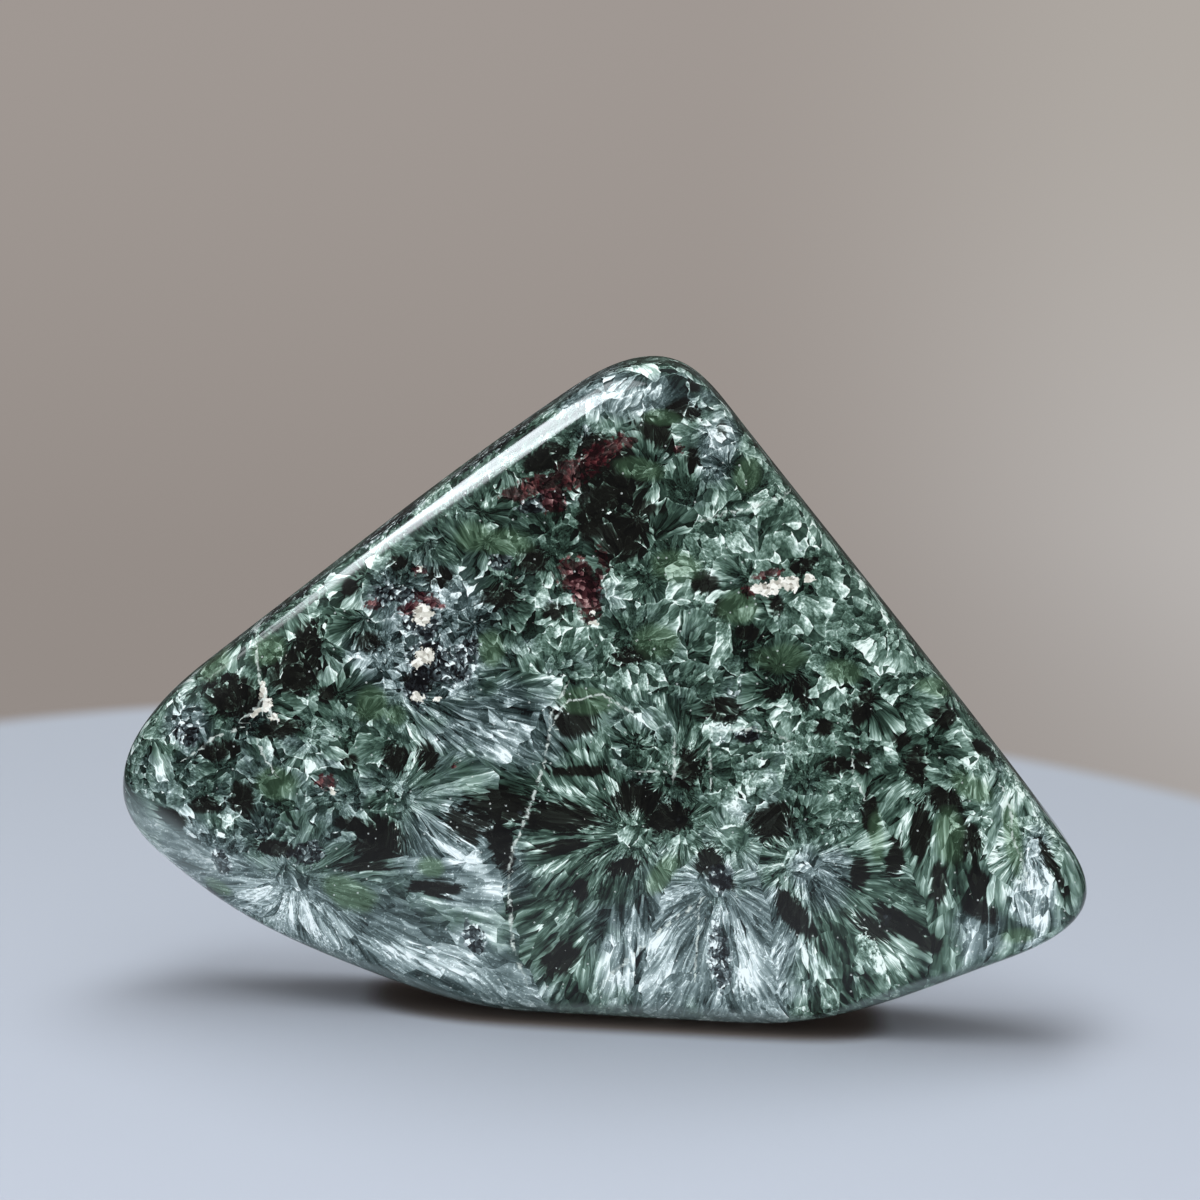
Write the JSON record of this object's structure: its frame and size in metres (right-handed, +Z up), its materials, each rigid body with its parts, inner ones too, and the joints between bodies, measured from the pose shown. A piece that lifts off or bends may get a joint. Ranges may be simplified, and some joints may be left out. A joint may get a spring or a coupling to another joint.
{
  "type": "polished seraphinite plate",
  "caption": "Rounded-triangle plate of dark green seraphinite with silvery feathers, polished with soft edges, standing on a flat ground into its lower edge.",
  "frame": {"origin": "on the supporting surface, under the middle of the plate", "axes": "+X along the plate's width, seen from the display face; +Y through its thickness, away from the display face; +Z up"},
  "size_m": [0.0975, 0.014, 0.067],
  "materials": {
    "seraphinite": "polished, dark green with silvery white feathers"
  },
  "bodies": {
    "root": {"seraphinite_plate": "seraphinite"}
  },
  "joints": []
}
